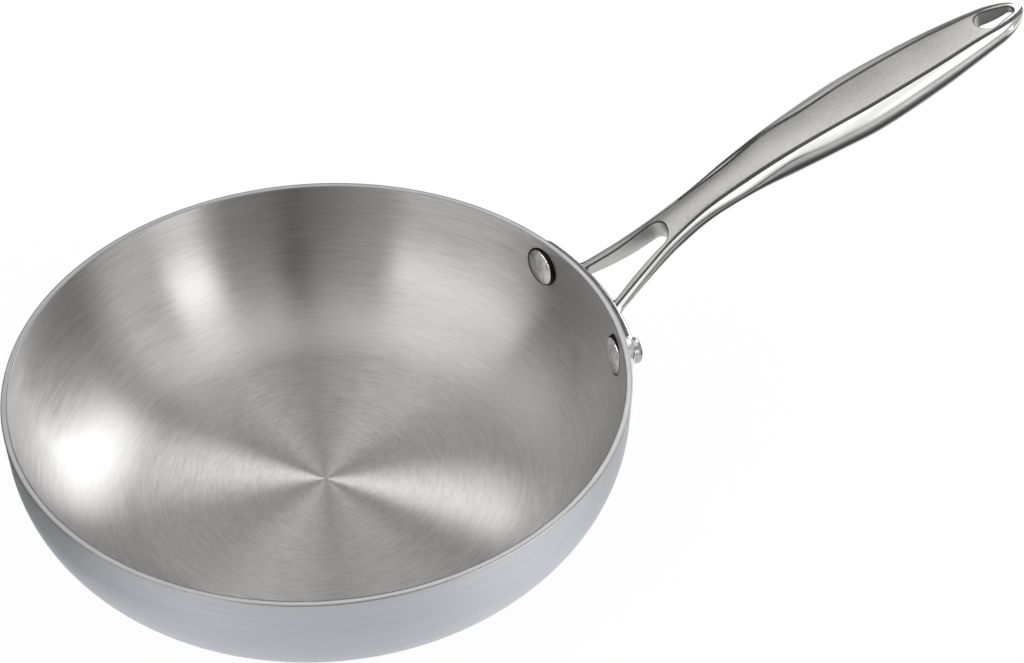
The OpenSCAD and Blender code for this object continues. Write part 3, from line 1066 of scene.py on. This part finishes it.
def tent():
    """A light tent round the set, hidden from the camera: its brightness varies with direction."""
    material, tree = new_tree("tent_cloth")
    unit = node(tree, "ShaderNodeVectorMath", operation="NORMALIZE")
    tree.links.new(object_place(tree), unit.inputs[0])

    def part(direction):
        """How far a place on the tent lies along a direction, from -1 to 1."""
        product = node(tree, "ShaderNodeVectorMath", operation="DOT_PRODUCT")
        tree.links.new(unit.outputs[0], product.inputs[0])
        product.inputs[1].default_value = direction
        return product.outputs["Value"]

    side = part(IMAGE_RIGHT)
    back = part(IMAGE_AWAY)
    up = part(UP)
    behind = map_range(tree, back, 0.0, 0.3, 0, 1)

    # A dark seam behind the pan, which fades low down, and a dark strip in front of it
    from_seam = maths(tree, "ABSOLUTE", maths(tree, "SUBTRACT", side, 0.03))
    from_strip = maths(tree, "ABSOLUTE", plus(tree, side, times(tree, back, 0.22)))
    seam = ramp(tree, from_seam, [(0.0, 0.12), (0.07, 0.2), (0.19, 1.0)], "EASE")
    strip = ramp(tree, from_strip, [(0.0, 0.0), (0.05, 0.0), (0.12, 1.0)], "EASE")
    fade = times(tree, ramp(tree, up, [(0.2, 0.7), (0.42, 0.0)]), behind)
    bands = maths(tree, "MAXIMUM", mix_colour(tree, behind, strip, seam), fade)

    # Brightness by height: behind on the right, behind on the left and in front
    left = map_range(tree, side, -0.32, -0.18, 1, 0)
    back_right = ramp(tree, up, [(0.0, 0.3), (0.1, 0.34), (0.3, 0.46), (0.8, 0.55)], "EASE")
    back_left = ramp(tree, up, [(0.0, 0.03), (0.34, 0.06), (0.54, 0.95), (0.8, 0.95)], "EASE")
    front = ramp(tree, up, [(0.0, 0.1), (0.3, 0.32), (0.7, 0.4)], "EASE")
    sides = mix_colour(tree, behind, front, mix_colour(tree, left, back_right, back_left))

    # A bright roof, dimmer in front
    roof = ramp(tree, up, [(0.8, 0.0), (0.93, 1.0)], "EASE")
    roof = times(tree, roof, map_range(tree, back, -0.42, -0.1, 0.25, 0.95))

    glow = node(tree, "ShaderNodeEmission")
    tree.links.new(plus(tree, times(tree, sides, bands), roof), glow.inputs["Strength"])
    show(tree, glow.outputs[0])
    material.cycles.emission_sampling = "NONE"
    heights = np.radians(np.linspace(-89.9, 89.9, TENT_RINGS))
    shell = Shell()
    shell.grid(revolve([(TENT_R * np.cos(e), TENT_R * np.sin(e)) for e in heights], TENT_STEPS), material)
    obj = shell.make("tent")
    obj.visible_camera = False
    obj.visible_shadow = False


def card(name, grid, shades):
    """A card that only reflections show; its greys are stops along Z less Y, in metres."""
    material, tree = new_tree(name + "_cloth")
    cloth = node(tree, "ShaderNodeBsdfDiffuse")
    split = node(tree, "ShaderNodeSeparateXYZ")
    tree.links.new(object_place(tree), split.inputs[0])
    reach = maths(tree, "SUBTRACT", split.outputs[2], split.outputs[1])
    low, high = shades[0][0], shades[-1][0]
    stops = [((at - low) / (high - low), grey) for at, grey in shades]
    tree.links.new(ramp(tree, map_range(tree, reach, low, high, 0, 1), stops), cloth.inputs[0])
    show(tree, cloth.outputs[0])
    shell = Shell()
    shell.grid(grid, material)
    obj = shell.make(name)
    obj.visible_camera = False
    obj.visible_diffuse = False
    obj.visible_shadow = False


def studio_points(right, away, z):
    """Points from their parts along the photograph's right and its depth, at a height, in millimetres."""
    right, away = np.broadcast_arrays(right, away)
    return right[:, None] * np.array(IMAGE_RIGHT) + away[:, None] * np.array(IMAGE_AWAY) + z * np.array(UP)


def cards():
    plain = [(0.0, 0.03), (1.0, 0.03)]

    # Upright, in an arc behind the pan on the left
    behind_r = 620
    a = np.radians(np.linspace(-75, -18, 41))
    rows = [studio_points(behind_r * np.sin(a), behind_r * np.cos(a), z) for z in (0, 70, 140)]
    card("card_behind", np.stack(rows), plain)

    # Beside the handle, from these points on out to the far end: it lies on the floor and rises in front
    far_x = 420
    starts = (
        (170, 110, 1),
        (170, 15, 1),
        (170, -60, 1),
        (165, -110, 1),
        (150, -125, 12),
        (128, -130, 60),
        (128, -130, 250),
    )
    shades = [(-0.11, 0.03), (-0.045, 0.03), (-0.02, 0.4), (0.0, 0.4), (0.025, 0.05), (0.065, 0.05)]
    shades += [(0.11, 0.14), (0.16, 0.3), (0.38, 0.6)]
    k = np.linspace(0, 1, 11)
    rows = [np.stack([x + (far_x - x) * k, 0 * k + y, 0 * k + z], -1) for x, y, z in starts]
    card("card_beside", np.stack(rows), shades)

    # Upright, to the left of the bowl
    rows = [studio_points(-180, np.linspace(-280, 120, 11), z) for z in (1.0, 50.0, 120.0)]
    card("card_left", np.stack(rows), plain)

    # On the floor, round the left side of the bowl
    a = np.radians(np.linspace(-205, -100, 61))
    rows = [studio_points(r * np.cos(a), r * np.sin(a), 1) for r in (122, 153, 185)]
    shades = [(-0.12, 0.1), (0.0, 0.12), (0.07, 0.7), (0.11, 0.92), (0.2, 0.95)]
    card("card_low_left", np.stack(rows), shades)


def camera():
    data = bpy.data.cameras.new("camera")
    data.lens = CAMERA_LENS
    data.sensor_width = 36.0
    data.clip_start = 0.01
    data.clip_end = 50.0
    obj = bpy.data.objects.new("camera", data)
    obj.location = CAMERA_PLACE
    obj.rotation_euler = (CAMERA_TILT, 0, CAMERA_TURN)
    bpy.context.scene.collection.objects.link(obj)
    bpy.context.scene.camera = obj


floor()
world()
tent()
cards()
softbox("softbox_back_right", toward(0.47, 0.725, 0.52), 0.53, 0.9, 4.2)
softbox("softbox_front_right", toward(0.87, -0.38, 0.36), 1.0, 0.8, 4.0)
softbox("softbox_front_left", toward(-0.78, -0.5, 0.4), 1.4, 0.8, 2.85)
camera()
bpy.context.scene.view_settings.view_transform = "Standard"
